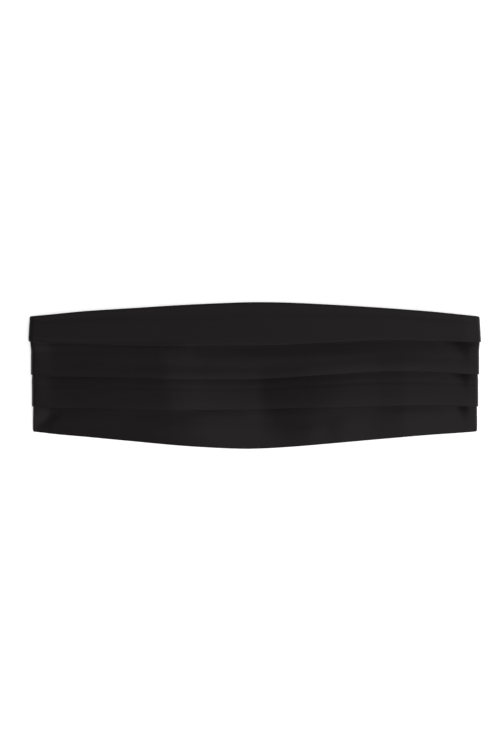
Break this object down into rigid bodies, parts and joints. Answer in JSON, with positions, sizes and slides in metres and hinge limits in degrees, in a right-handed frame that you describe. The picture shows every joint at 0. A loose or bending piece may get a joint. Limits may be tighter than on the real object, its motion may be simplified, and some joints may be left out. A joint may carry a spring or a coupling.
{
  "type": "cummerbund",
  "caption": "Pleated black satin cummerbund laid flat, its ends folded behind the front and joined by a narrow back band with a hook and eye.",
  "frame": {"origin": "centre of the object's bounding box in plan, on the plane that the folded ends rest on", "axes": "+X across the front, to the right as the front is seen; +Y towards the front's top edge; +Z out of the front, away from the surface it lies on"},
  "size_m": [0.3902, 0.1268, 0.0086],
  "materials": {
    "satin": "black warp satin, soft sheen",
    "webbing": "black woven elastic band, matte ribs",
    "fastening": "black enamelled wire and strip"
  },
  "bodies": {
    "root": {"pleated_panel": "satin", "back_band_left": "webbing", "back_band_right": "webbing", "band_eye": "fastening", "band_hook": "fastening"}
  },
  "joints": []
}
